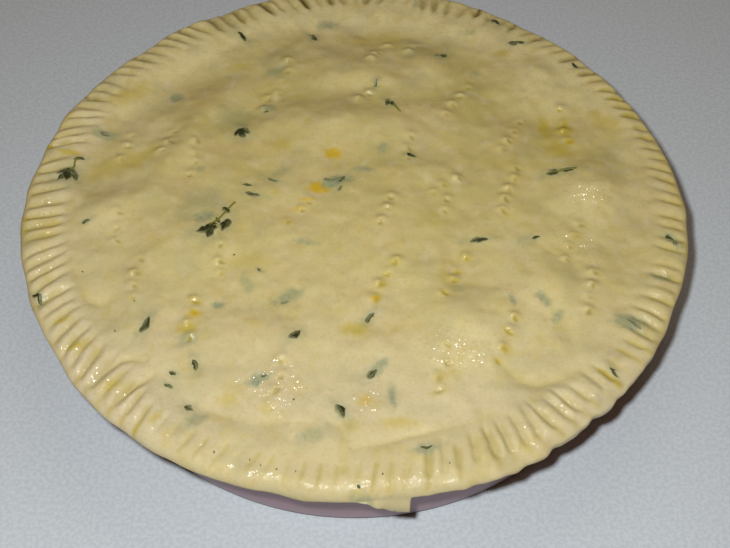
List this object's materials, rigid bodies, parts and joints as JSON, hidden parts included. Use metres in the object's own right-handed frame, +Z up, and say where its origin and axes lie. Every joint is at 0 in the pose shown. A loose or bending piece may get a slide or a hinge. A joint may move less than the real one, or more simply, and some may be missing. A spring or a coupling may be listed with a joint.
{
  "type": "steak and kidney pie",
  "caption": "Large round savoury pie with a fork-crimped, thyme-flecked raw pastry lid, pricked with a fork, in a flat-based metal pie tin.",
  "frame": {"origin": "middle of the tin's flat base, on the surface that it stands on", "axes": "+Z up out of the lid; -Y is the front of the pie, where the pastry's loose scrap hangs; +X to the right seen from the front"},
  "size_m": [0.2613, 0.2597, 0.0599],
  "materials": {
    "pastry": "egg-washed raw pastry, soft gloss",
    "tin": "mauve-grey satin"
  },
  "bodies": {
    "root": {"pie": "pastry", "tin": "tin"}
  },
  "joints": []
}
